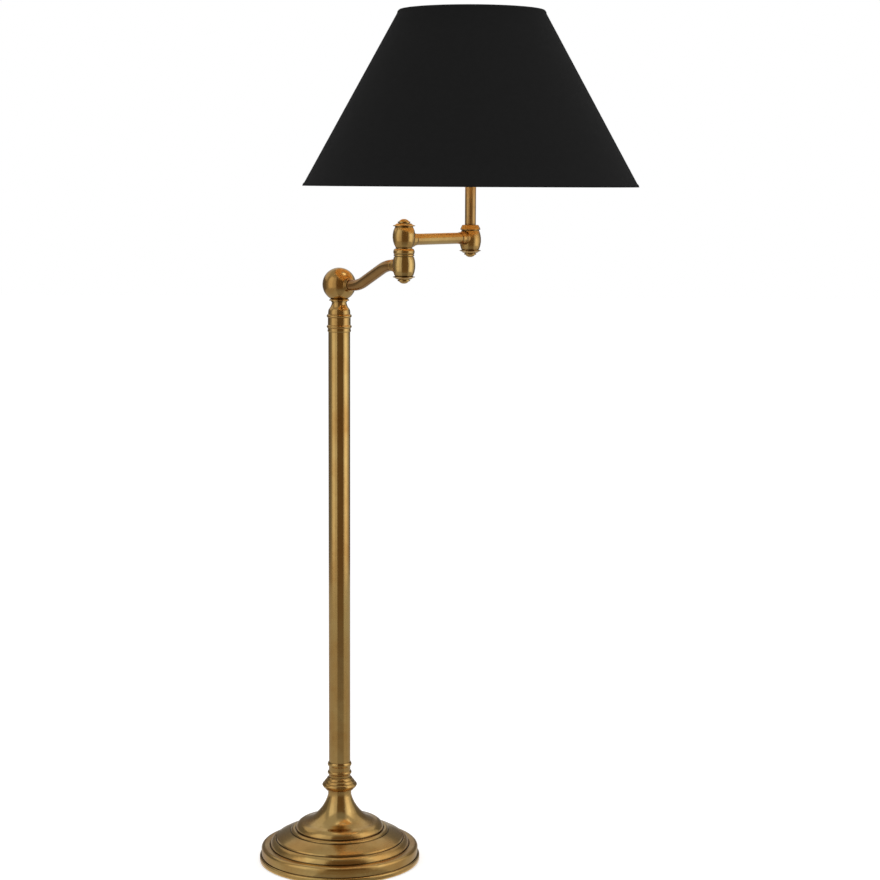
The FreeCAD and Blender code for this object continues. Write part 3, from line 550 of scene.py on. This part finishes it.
# %% Mix the brass of each axis and tube
pole_axis = (0.0, 0.0, 0.0)
elbow_low, elbow_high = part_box("elbow_spindle")
hub_low, hub_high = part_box("stem_rod")
elbow_axis = tuple((elbow_low + elbow_high) / 2)
hub_axis = tuple((hub_low + hub_high) / 2)
print("elbow axis:", [round(c, 4) for c in elbow_axis], "hub axis:", [round(c, 4) for c in hub_axis])

lower_azimuth = math.radians(-50)
upper_azimuth = math.radians(51)
lower_climb = 0.28          # the bent arm rises as it goes out
lower_run = (math.cos(lower_azimuth), math.sin(lower_azimuth), lower_climb)
upper_run = (math.cos(upper_azimuth), math.sin(upper_azimuth), 0.0)
upright = (0.0, 0.0, 1.0)

brass_spun = antique_brass("antique_brass_spun_sheet", pole_axis, roughness=spun)
brass_turned_pole = antique_brass("antique_brass_turned_on_pole", pole_axis)
brass_turned_elbow = antique_brass("antique_brass_turned_at_elbow", elbow_axis, roughness=spun)
brass_turned_hub = antique_brass("antique_brass_turned_at_hub", hub_axis, roughness=satin)
brass_drawn_pole = antique_brass("antique_brass_drawn_upright", pole_axis, upright)
brass_bent_arm = antique_brass("antique_brass_bent_tube", pole_axis, lower_run, bent_tube_brass,
                               bent_tube_warm)
brass_drawn_arm = antique_brass("antique_brass_drawn_level", elbow_axis, upper_run, roughness=satin)
brass_drawn_stem = antique_brass("antique_brass_drawn_stem", hub_axis, upright, stem_brass, bent_tube_brass,
                                 brushed)

# %% Give the brass pieces their finish
brass_pieces = {
    brass_spun: ["base_cover"],
    brass_turned_pole: ["base_knop", "lower_ferrule", "upper_ferrule", "swivel_neck", "ball_seat_ring",
                        "swivel_ball", "ball_collar"],
    brass_turned_elbow: ["lower_elbow_barrel", "elbow_bottom_cap", "elbow_bead_ring", "elbow_finials",
                         "upper_elbow_barrel", "arm_caps"],
    brass_turned_hub: ["hub_barrel", "hub_finial", "hub_top_collar", "lampholder_cap", "lampholder_shell"],
    brass_drawn_pole: ["pole_tube"],
    brass_bent_arm: ["lower_arm_tube"],
    brass_drawn_arm: ["upper_arm_tube"],
    brass_drawn_stem: ["stem_tube"],
}


def finish_with(material, *names):
    """Gives CAD nodes a material, in place of the plain one that they were packed with."""
    for name in names:
        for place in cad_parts[name].material_slots:
            place.material = material


for material, names in brass_pieces.items():
    finish_with(material, *names)
print("brass pieces:", sum(len(names) for names in brass_pieces.values()))

# %% [markdown]
# ## The shade's black fabric
# The shade is a stiff cone of plastic-backed card covered with a black cotton-like cloth, with its edge
# rolled over at both rims. Black dye swallows nearly all light, and the threads only show as a faint grain.
# The threads are about 0.4 mm apart. They are drawn 0.8 mm apart, so that the weave can show near by.
# A flat weave would have to be bent round the cone. Here it follows the cone by itself, because its places
# are the angle round the shade's axis and the height.

# %% Black shade fabric
thread_pitch = 0.8 * millimetre
thread_depth = 0.06 * millimetre
slub_length = 6.25 * millimetre     # of the thicker places that spinning leaves in a thread
slub_strength = 1.2
relief_range = (-1.0, 2.0)          # from the lowest gap to the thickest thread
gap_black = "#161616"
thread_black = "#202020"
middle_of_cone = 0.72               # the cone's mean radius, as a share of its lower one

shade_low, shade_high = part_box("shade_cover")
shade_middle_radius = (shade_high.x - shade_low.x) / 2 * middle_of_cone
warp_count = round(2 * math.pi * shade_middle_radius / thread_pitch)

shade_cloth, tree = new_material("black_cotton_laminate")
place = add_node(tree, "ShaderNodeTexCoord").outputs["Object"]
centred = add_node(tree, "ShaderNodeVectorMath", {0: place, 1: hub_axis}, operation="SUBTRACT")
split = add_node(tree, "ShaderNodeSeparateXYZ", {0: centred.outputs[0]})
turn = add_node(tree, "ShaderNodeMath", {0: split.outputs[1], 1: split.outputs[0]}, operation="ARCTAN2")
threads = []
for along, waves in ((split.outputs[2], 2 * math.pi / thread_pitch), (turn.outputs[0], float(warp_count))):
    phase = add_node(tree, "ShaderNodeMath", {0: along, 1: waves}, operation="MULTIPLY")
    threads.append(add_node(tree, "ShaderNodeMath", {0: phase.outputs[0]}, operation="SINE").outputs[0])
weave = add_node(tree, "ShaderNodeMath", {0: threads[0], 1: threads[1]}, operation="MULTIPLY")
slubs = add_node(tree, "ShaderNodeTexNoise", {"Vector": place, "Scale": 1 / slub_length, "Detail": 3.0})
slubby = add_node(tree, "ShaderNodeMath", {0: slubs.outputs[0], 1: slub_strength}, operation="MULTIPLY")
relief = add_node(tree, "ShaderNodeMath", {0: weave.outputs[0], 1: slubby.outputs[0]}, operation="ADD")
share = add_node(tree, "ShaderNodeMapRange", {
    "Value": relief.outputs[0],
    "From Min": relief_range[0],
    "From Max": relief_range[1],
})
tone = add_node(tree, "ShaderNodeMix", {
    0: share.outputs[0],
    6: linear(gap_black),
    7: linear(thread_black),
}, data_type="RGBA")
bump = add_node(tree, "ShaderNodeBump", {
    "Height": relief.outputs[0],
    "Distance": thread_depth,
    "Strength": 1.0,
})
set_surface(tree, add_node(tree, "ShaderNodeBsdfPrincipled", {
    "Base Color": tone.outputs[2],
    "Roughness": 0.85,
    "Specular IOR Level": 0.07,     # dull threads, so that the cloth doesn't pale at its edges
    "Sheen Weight": 0.006,
    "Sheen Roughness": 0.5,
    "Normal": bump.outputs[0],
}))
finish_with(shade_cloth, "shade_cover")
print("warp threads round the shade:", warp_count)

# %% [markdown]
# ## The shade's gold lining
# The photograph doesn't show the inside, but the upward faces right under the shade glow orange, as they do
# under a gold lining. It is a metallised foil on card, brushed round the cone.
# A pure metal would only show the dark room. Real foil is lacquered and a little milky, so a part of it is
# an even gold, and the rest shines softly.

# %% Gold lining
grain_height = 0.62 * millimetre    # coarser than real brushing, so that it shows
grain_stretch = 18.0                # a grain is this much longer than high
foil_depth = 0.04 * millimetre
foil_gold = "#DDB67E"
foil_pale_gold = "#ECCB98"

gold_lining, tree = new_material("gold_metallised_foil")
place = add_node(tree, "ShaderNodeTexCoord").outputs["Object"]
stretched = add_node(tree, "ShaderNodeVectorMath", {
    0: place,
    1: (1.0, 1.0, grain_stretch),
}, operation="MULTIPLY")
grain = add_node(tree, "ShaderNodeTexNoise", {
    "Vector": stretched.outputs[0],
    "Scale": 1 / (grain_height * grain_stretch),
    "Detail": 4.0,
})
tone = add_node(tree, "ShaderNodeMix", {
    0: grain.outputs[0],
    6: linear(foil_gold),
    7: linear(foil_pale_gold),
}, data_type="RGBA")
ripple = add_node(tree, "ShaderNodeBump", {
    "Height": grain.outputs[0],
    "Distance": foil_depth,
    "Strength": 1.0,
})
set_surface(tree, add_node(tree, "ShaderNodeBsdfPrincipled", {
    "Base Color": tone.outputs[2],
    "Metallic": 0.25,
    "Roughness": 0.42,
    "Normal": ripple.outputs[0],
}))
finish_with(gold_lining, "shade_lining")
print("grain of the foil:", round(1000 * grain_height * grain_stretch), "mm long")

# %% [markdown]
# ## Plain metals, porcelain, plastics and felt
# The pieces inside the shade and under the foot are the ordinary stock of a lamp maker. Each could have a
# recipe of its own, but most of what tells them apart is their colour, their gloss and the size and depth of
# the small unevenness that their making leaves. So one function makes them all from these few values.
# Where the real grain is too fine to show, such as that of plated or moulded parts, it is drawn coarser.

# %% A finish from a few values
def stock_material(name, light, dark, grain, metallic, roughness, relief):
    """A finish with an uneven tone and relief, from one noise. grain and relief are in metres."""
    material, tree = new_material(name)
    place = add_node(tree, "ShaderNodeTexCoord").outputs["Object"]
    pattern = add_node(tree, "ShaderNodeTexNoise", {
        "Vector": place,
        "Scale": 1 / grain,
        "Detail": 4.0,
        "Roughness": 0.6,
    }).outputs[0]
    tone = add_node(tree, "ShaderNodeMix", {0: pattern, 6: linear(light), 7: linear(dark)}, data_type="RGBA")
    rough = add_node(tree, "ShaderNodeMapRange", {
        "Value": pattern,
        "To Min": roughness[0],
        "To Max": roughness[1],
    })
    bump = add_node(tree, "ShaderNodeBump", {"Height": pattern, "Distance": relief, "Strength": 1.0})
    set_surface(tree, add_node(tree, "ShaderNodeBsdfPrincipled", {
        "Base Color": tone.outputs[2],
        "Metallic": metallic,
        "Roughness": rough.outputs[0],
        "Normal": bump.outputs[0],
    }))
    return material


print("finishes made so far:", [m.name for m in (*brass_pieces, shade_cloth, gold_lining)])

# %% [markdown]
# ### Metals
# Zinc plating leaves a steel rod blue-grey and dull. Nickel is warmer and shines. Sand casting leaves iron
# with a grainy skin, which the maker paints black. Powder coat is white plastic, baked on, with a fine
# orange peel.

# %% Finishes of the metal parts
zinc_plate = stock_material(
    "steel_zinc_plated", "#C4C8CC", "#9CA2A8",
    grain=1.1 * millimetre, metallic=1.0, roughness=(0.25, 0.42), relief=0.01 * millimetre)
nickel_plate = stock_material(
    "brass_nickel_plated", "#D2CDBF", "#B3AC9A",
    grain=1.4 * millimetre, metallic=1.0, roughness=(0.15, 0.3), relief=0.005 * millimetre)
cast_iron = stock_material(
    "iron_sand_cast_painted", "#2B2B2B", "#191919",
    grain=2.4 * millimetre, metallic=0.0, roughness=(0.6, 0.85), relief=0.25 * millimetre)
white_wire = stock_material(
    "steel_wire_powder_coated", "#EDECE7", "#DAD8D1",
    grain=0.67 * millimetre, metallic=0.0, roughness=(0.35, 0.5), relief=0.03 * millimetre)
finish_with(zinc_plate, "tie_rod", "tie_rod_washer", "tie_rod_nut", "swivel_spindle", "swivel_washer",
            "swivel_nut", "elbow_spindle", "stem_rod")
finish_with(nickel_plate, "lampholder_screw_shell", "lampholder_contact")
finish_with(cast_iron, "base_weight")
finish_with(white_wire, "shade_spokes", "shade_bottom_ring", "shade_top_ring", "shade_carrier_ring")
print("metal finishes:", [m.name for m in (zinc_plate, nickel_plate, cast_iron, white_wire)])

# %% [markdown]
# ### Plastics, porcelain and felt
# Pressed felt is all loose fibre, so it is dull and rough. Moulded rubber is nearly as dull, nylon has a
# waxy gloss and phenolic resin a hard one. Glaze runs before it sets, so porcelain shines, with slow waves.

# %% Finishes of the other parts
felt = stock_material(
    "wool_felt_pressed", "#1E2B22", "#0F1812",
    grain=0.7 * millimetre, metallic=0.0, roughness=(0.9, 1.0), relief=0.2 * millimetre)
rubber = stock_material(
    "rubber_moulded", "#262626", "#1A1A1A",
    grain=0.8 * millimetre, metallic=0.0, roughness=(0.55, 0.7), relief=0.01 * millimetre)
nylon = stock_material(
    "nylon_moulded_black", "#262422", "#1A1918",
    grain=1.7 * millimetre, metallic=0.0, roughness=(0.35, 0.5), relief=0.005 * millimetre)
porcelain = stock_material(
    "porcelain_glazed", "#F1EEE6", "#E6E2D8",
    grain=7 * millimetre, metallic=0.0, roughness=(0.08, 0.16), relief=0.04 * millimetre)
phenolic = stock_material(
    "phenolic_moulded", "#1C1A19", "#121110",
    grain=2 * millimetre, metallic=0.0, roughness=(0.22, 0.34), relief=0.01 * millimetre)
finish_with(felt, "felt_pad")
finish_with(rubber, "cord_inlet_bush")
finish_with(nylon, "swivel_slip_washer", "elbow_slip_washer")
finish_with(porcelain, "lampholder_core")
finish_with(phenolic, "switch_bar", "shade_ring_nut")
print("other finishes:", [m.name for m in (felt, rubber, nylon, porcelain, phenolic)])

# %% [markdown]
# ## Forms that are too fine for the solids
# Threads, ribs and welds stay out of the CAD model, which keeps plain cylinders in their place. Here they are
# made as meshes. Two of them are rings whose outline changes with the angle: a thread is a wave in the
# outline that climbs by one pitch per turn, and a rib is a wave round the rim. A screw modifier can turn an
# outline too, but it can't change it on the way, so one function joins such outlines into a closed skin.

# %% Rings, and what every made piece needs
def finished_piece(name, mesh):
    """Turns a bmesh into an object, with its faces turned outwards."""
    bmesh.ops.recalc_face_normals(mesh, faces=mesh.faces)
    data = bpy.data.meshes.new(name)
    mesh.to_mesh(data)
    mesh.free()
    piece = bpy.data.objects.new(name, data)
    scene.collection.objects.link(piece)
    shade_by_angle(piece)
    return piece


def join_outlines(mesh, outline, following):
    """Fills the strip between two closed outlines of as many points."""
    for index in range(len(outline)):
        after = (index + 1) % len(outline)
        mesh.faces.new((outline[index], following[index], following[after], outline[after]))


def ring_mesh(name, axis, columns, outline_at):
    """A closed ring about an upright axis. outline_at(turn) gives its (radius, height) points there."""
    mesh = bmesh.new()
    outlines = []
    for column in range(columns):
        turn = 2 * math.pi * column / columns
        across = (math.cos(turn), math.sin(turn))
        outlines.append([
            mesh.verts.new((axis[0] + radius * across[0], axis[1] + radius * across[1], height))
            for radius, height in outline_at(turn)])
    for outline, following in zip(outlines, outlines[1:] + outlines[:1]):
        join_outlines(mesh, outline, following)
    return finished_piece(name, mesh)


def dress(piece, material, slot, body, *replaced):
    """Gives a made piece its finish, the body it rides on and the nodes it stands for. The slot is not used.
    """
    piece.data.materials.append(material)
    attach(piece, body)
    if replaced:
        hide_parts(*replaced)
    print(piece.name, "faces:", len(piece.data.polygons))


def wave(turns):
    """From 0 to 1 and back, once a turn."""
    return 0.5 - 0.5 * math.cos(2 * math.pi * turns)


print("wave at no turn, a quarter and a half:", [round(wave(turns), 2) for turns in (0, 0.25, 0.5)])

# %% [markdown]
# ### The screw shell
# The shell that takes the bulb is nickel plated brass sheet, with the round thread of a 27 mm lamp cap rolled
# into it. A plain tube with a bump would look right from afar. But sheet keeps its thickness when it is
# rolled, so the inner and the outer side wave together, and that shows at its rim.

# %% Roll the screw shell
thread_pitch_of_bulb = 3.63 * millimetre
thread_depth_of_bulb = 1.0 * millimetre
shell_sheet = 0.4 * millimetre
shell_clearance = 0.05 * millimetre
plain_end = 1.2 * millimetre        # the thread runs out before each end of the shell
shell_rows = 80
shell_columns = 72
shell_low, shell_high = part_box("lampholder_screw_shell")
shell_height = shell_high.z - shell_low.z
shell_root = (shell_high.x - shell_low.x) / 2 - shell_clearance - shell_sheet


def screw_shell_outline(turn):
    inner = []
    for row in range(shell_rows + 1):
        height = shell_low.z + shell_height * row / shell_rows
        fade = min(1.0, (height - shell_low.z) / plain_end, (shell_high.z - height) / plain_end)
        crest = wave(height / thread_pitch_of_bulb - turn / (2 * math.pi))
        inner.append((shell_root - thread_depth_of_bulb * fade * crest, height))
    outer = [(radius + shell_sheet, height) for radius, height in reversed(inner)]
    return inner + outer


screw_shell = ring_mesh("rolled_screw_shell", hub_axis, shell_columns, screw_shell_outline)
dress(screw_shell, nickel_plate, "nickel_sheet", "upper_arm", "lampholder_screw_shell")

# %% [markdown]
# ### The ribbed ring nut
# The shade is clamped by a moulded ring with small ribs round its rim, for the fingers. They could be cut
# one by one from a plain ring. Between two ribs the rim is hollowed in a soft wave, so a wave in the ring's
# radius makes them all at once.

# %% Mould the ring nut
rib_count = 36
rib_columns = 8             # points round each rib
rib_depth = 0.8 * millimetre
nut_bore = 20.05 * millimetre       # clears the lampholder by a trace
nut_edge = 0.7 * millimetre         # height of each of the two steps that round its edges
nut_edge_inset = 0.2 * millimetre
nut_face_inset = 1.8 * millimetre   # the flat faces stop short of the ribs
nut_low, nut_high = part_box("shade_ring_nut")
nut_radius = (nut_high.x - nut_low.x) / 2


def ring_nut_outline(turn):
    rim = nut_radius - rib_depth * wave(rib_count * turn / (2 * math.pi)) ** 2
    face = nut_radius - nut_face_inset
    return [
        (nut_bore, nut_low.z),
        (face, nut_low.z),
        (rim - nut_edge_inset, nut_low.z + nut_edge),
        (rim, nut_low.z + 2 * nut_edge),
        (rim, nut_high.z - 2 * nut_edge),
        (rim - nut_edge_inset, nut_high.z - nut_edge),
        (face, nut_high.z),
        (nut_bore, nut_high.z),
    ]


ring_nut = ring_mesh("ribbed_ring_nut", hub_axis, rib_count * rib_columns, ring_nut_outline)
dress(ring_nut, phenolic, "black_phenolic", "upper_arm", "shade_ring_nut")

# %% [markdown]
# ### The seam of the shade
# The cover is one flat sheet, bent into a cone. Its ends overlap by 8 mm at the back and are glued, so the
# outer end makes a step from rim to rim. A dark line in the material would vanish in black cloth, and only a
# real step catches the light. So it is a thin strip on the cone, thick at that end, which runs out to
# nothing at the other.

# %% Measure the cone
rim_tolerance = 0.01 * millimetre


def radius_at(node_name, axis, rim_height):
    """The outer radius of a node at one of its rims."""
    rim = [v.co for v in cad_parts[node_name].data.vertices if abs(v.co.z - rim_height) < rim_tolerance]
    return max(math.hypot(point.x - axis[0], point.y - axis[1]) for point in rim)


cone_low = radius_at("shade_cover", hub_axis, shade_low.z)
cone_high = radius_at("shade_cover", hub_axis, shade_high.z)
cone_slope = (cone_low - cone_high) / (shade_high.z - shade_low.z)
print("shade radii:", round(cone_low, 4), round(cone_high, 4))

# %% Glue the seam
seam_width = 8 * millimetre
seam_step = 0.5 * millimetre        # how far the outer end stands off
seam_corner = 0.75                  # its edge is a little crushed
seam_film = 0.04 * millimetre       # the thin end lies on the cloth, and doesn't sink into it
seam_sunk = 0.1 * millimetre        # the underside
seam_wander = 0.2 * millimetre      # no seam is quite straight
wander_length = 25 * millimetre
wander_place = 3.0                  # where in the noise the seam is read
hem_height = 5 * millimetre
under_hem = 0.5 * millimetre        # the seam goes under the rolled rims by a trace
seam_rows = 60
seam_columns = 6
seam_middle = math.radians(90)      # the back of the lamp
seam_start = shade_low.z + hem_height - under_hem
seam_end = shade_high.z - hem_height + under_hem


def seam_outline(height):
    """The points round the strip at a height: along its face, and back along its underside."""
    radius = cone_low - cone_slope * (height - shade_low.z)
    wander = seam_wander * noise.noise(Vector((height / wander_length, 0.0, wander_place)))
    face = []
    underside = []
    for column in range(seam_columns + 1):
        share = column / seam_columns
        turn = seam_middle + (seam_width * (share - 0.5) + wander) / radius
        thick = seam_film + seam_step * (1 - share) ** 0.5
        if column == 0:
            thick *= seam_corner
        for points, reach in ((face, radius + thick), (underside, radius - seam_sunk)):
            x = hub_axis[0] + reach * math.cos(turn)
            y = hub_axis[1] + reach * math.sin(turn)
            points.append((x, y, height))
    return face + underside[::-1]


seam_mesh = bmesh.new()
seam_outlines = []
for row in range(seam_rows + 1):
    seam_height = seam_start + (seam_end - seam_start) * row / seam_rows
    seam_outlines.append([seam_mesh.verts.new(point) for point in seam_outline(seam_height)])
for outline, following in zip(seam_outlines, seam_outlines[1:]):
    join_outlines(seam_mesh, outline, following)
seam_mesh.faces.new(seam_outlines[0])
seam_mesh.faces.new(seam_outlines[-1])
seam = finished_piece("shade_overlap_seam", seam_mesh)
dress(seam, shade_cloth, "black_shade_fabric", "upper_arm")

# %% [markdown]
# ### The welds of the shade's frame
# Each spoke is spot welded to the carrier ring and to the bottom wire. A weld leaves a small uneven lump.
# Metaballs would melt the wires into one skin. But the wires are CAD solids that stay as they are, so each
# weld is a rounded ball of metal of its own, flattened towards the ring and dented by noise.

# %% Weld the spokes
spoke_count = 3
first_spoke = 90            # degrees
weld_size = (3.0 * millimetre, 2.4 * millimetre, 2.0 * millimetre)
weld_roundness = 3          # subdivisions of an icosphere
dent_share = 0.18
dents_across = 1.7
dent_variety = 50.0         # reads each weld's dents from another place in the noise

carrier_low, carrier_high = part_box("shade_carrier_ring")
wire_low, wire_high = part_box("shade_bottom_ring")
carrier_radius = (carrier_high.x - carrier_low.x) / 2
wire_ring_radius = (wire_high.x - wire_low.x) / 2 - (wire_high.z - wire_low.z)
weld_rings = (
    (carrier_radius, (carrier_low.z + carrier_high.z) / 2),
    (wire_ring_radius, (wire_low.z + wire_high.z) / 2),
)

welds_mesh = bmesh.new()
for spoke in range(spoke_count):
    turn = math.radians(first_spoke + 360 / spoke_count * spoke)
    for radius, height in weld_rings:
        spot = Vector((hub_axis[0] + radius * math.cos(turn), hub_axis[1] + radius * math.sin(turn), height))
        ball = bmesh.ops.create_icosphere(welds_mesh, subdivisions=weld_roundness, radius=1.0)["verts"]
        for vert in ball:
            dent = 1 + dent_share * noise.noise(vert.co * dents_across + spot * dent_variety)
            vert.co = Vector(side * size * dent for side, size in zip(vert.co, weld_size))
        stand = Matrix.Translation(spot) @ Matrix.Rotation(turn, 4, "Z")
        bmesh.ops.transform(welds_mesh, verts=ball, matrix=stand)
welds = finished_piece("shade_frame_welds", welds_mesh)
dress(welds, white_wire, "white_wire", "upper_arm")
print("welds:", spoke_count * len(weld_rings))
